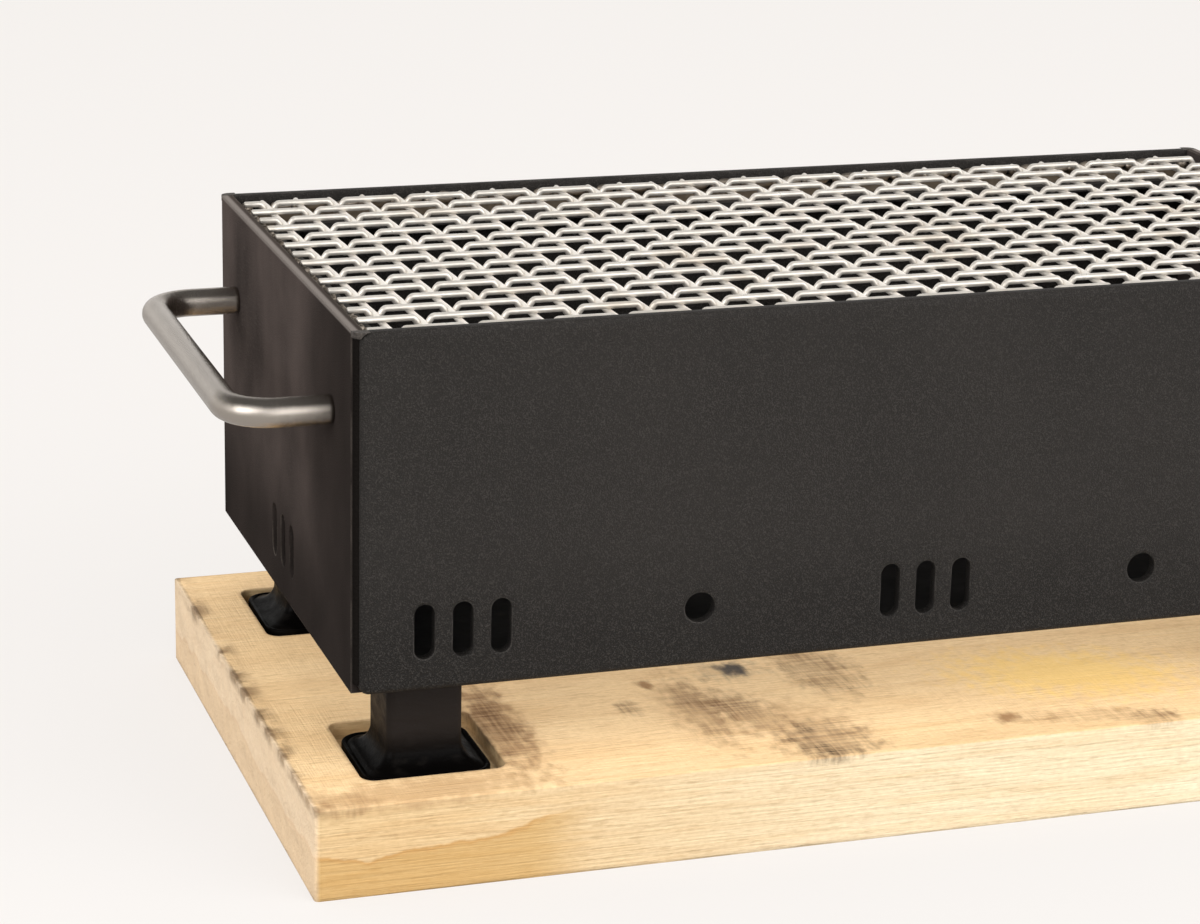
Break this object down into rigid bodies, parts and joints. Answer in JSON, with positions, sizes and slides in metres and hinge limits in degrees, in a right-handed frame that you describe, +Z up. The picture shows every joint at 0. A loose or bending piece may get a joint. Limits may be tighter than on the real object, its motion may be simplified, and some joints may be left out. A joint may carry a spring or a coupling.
{
  "type": "hibachi grill",
  "caption": "Rectangular black steel tabletop charcoal grill with a woven wire cooking grate, bent-rod end handles and rubber feet, standing in a pocketed wooden board.",
  "frame": {"origin": "centre of the wooden board's underside, which is also the bottom centre of the whole part's box", "axes": "+X along the firebox from the left handle to the right handle, +Y from front wall to rear wall, +Z up"},
  "size_m": [0.475, 0.233, 0.1862],
  "materials": {
    "powder_coat": "charcoal black powder coat with a fine sandy texture",
    "inner_steel": "powder-coated flat bar, sooty",
    "board_wood": "pale sawn softwood with blue-black stain marks and clear grain",
    "handle_stainless": "satin stainless rod",
    "fixing_steel": "plain stainless fixings",
    "leg_steel": "black square tube",
    "foot_rubber": "matt black moulded rubber",
    "plate_steel": "dark heat-scaled steel plate",
    "mesh_stainless": "crimped stainless wire, slightly warm",
    "bar_stainless": "stainless flat bar with straw-coloured heat tint"
  },
  "bodies": {
    "board": {"base_board": "board_wood"},
    "firebox": {"front_panel": "powder_coat", "rear_panel": "powder_coat", "left_end_panel": "powder_coat", "right_end_panel": "powder_coat", "floor_panel": "powder_coat", "corner_welds": "powder_coat", "grate_ledge_front": "inner_steel", "grate_ledge_rear": "inner_steel", "grate_ledge_left": "inner_steel", "grate_ledge_right": "inner_steel", "charcoal_rail_left": "inner_steel", "charcoal_rail_right": "inner_steel", "left_handle": "handle_stainless", "right_handle": "handle_stainless", "handle_screws": "fixing_steel", "handle_washers": "fixing_steel", "leg_front_left": "leg_steel", "foot_front_left": "foot_rubber", "leg_front_right": "leg_steel", "foot_front_right": "foot_rubber", "leg_rear_left": "leg_steel", "foot_rear_left": "foot_rubber", "leg_rear_right": "leg_steel", "foot_rear_right": "foot_rubber"},
    "charcoal_grate": {"charcoal_plate": "plate_steel"},
    "cooking_grate": {"grate_long_wires": "mesh_stainless", "grate_cross_wires": "mesh_stainless", "grate_bar_front": "bar_stainless", "grate_bar_rear": "bar_stainless", "grate_bar_left": "bar_stainless", "grate_bar_right": "bar_stainless"}
  },
  "joints": [
    {"name": "firebox_lift", "type": "slide", "parent": "board", "child": "firebox", "axis": [0, 0, 1], "range_m": [0, 0.1]},
    {"name": "charcoal_plate_lift", "type": "slide", "parent": "firebox", "child": "charcoal_grate", "axis": [0, 0, 1], "range_m": [0, 0.12]},
    {"name": "cooking_grate_lift", "type": "slide", "parent": "charcoal_grate", "child": "cooking_grate", "axis": [0, 0, 1], "range_m": [0, 0.12]}
  ]
}
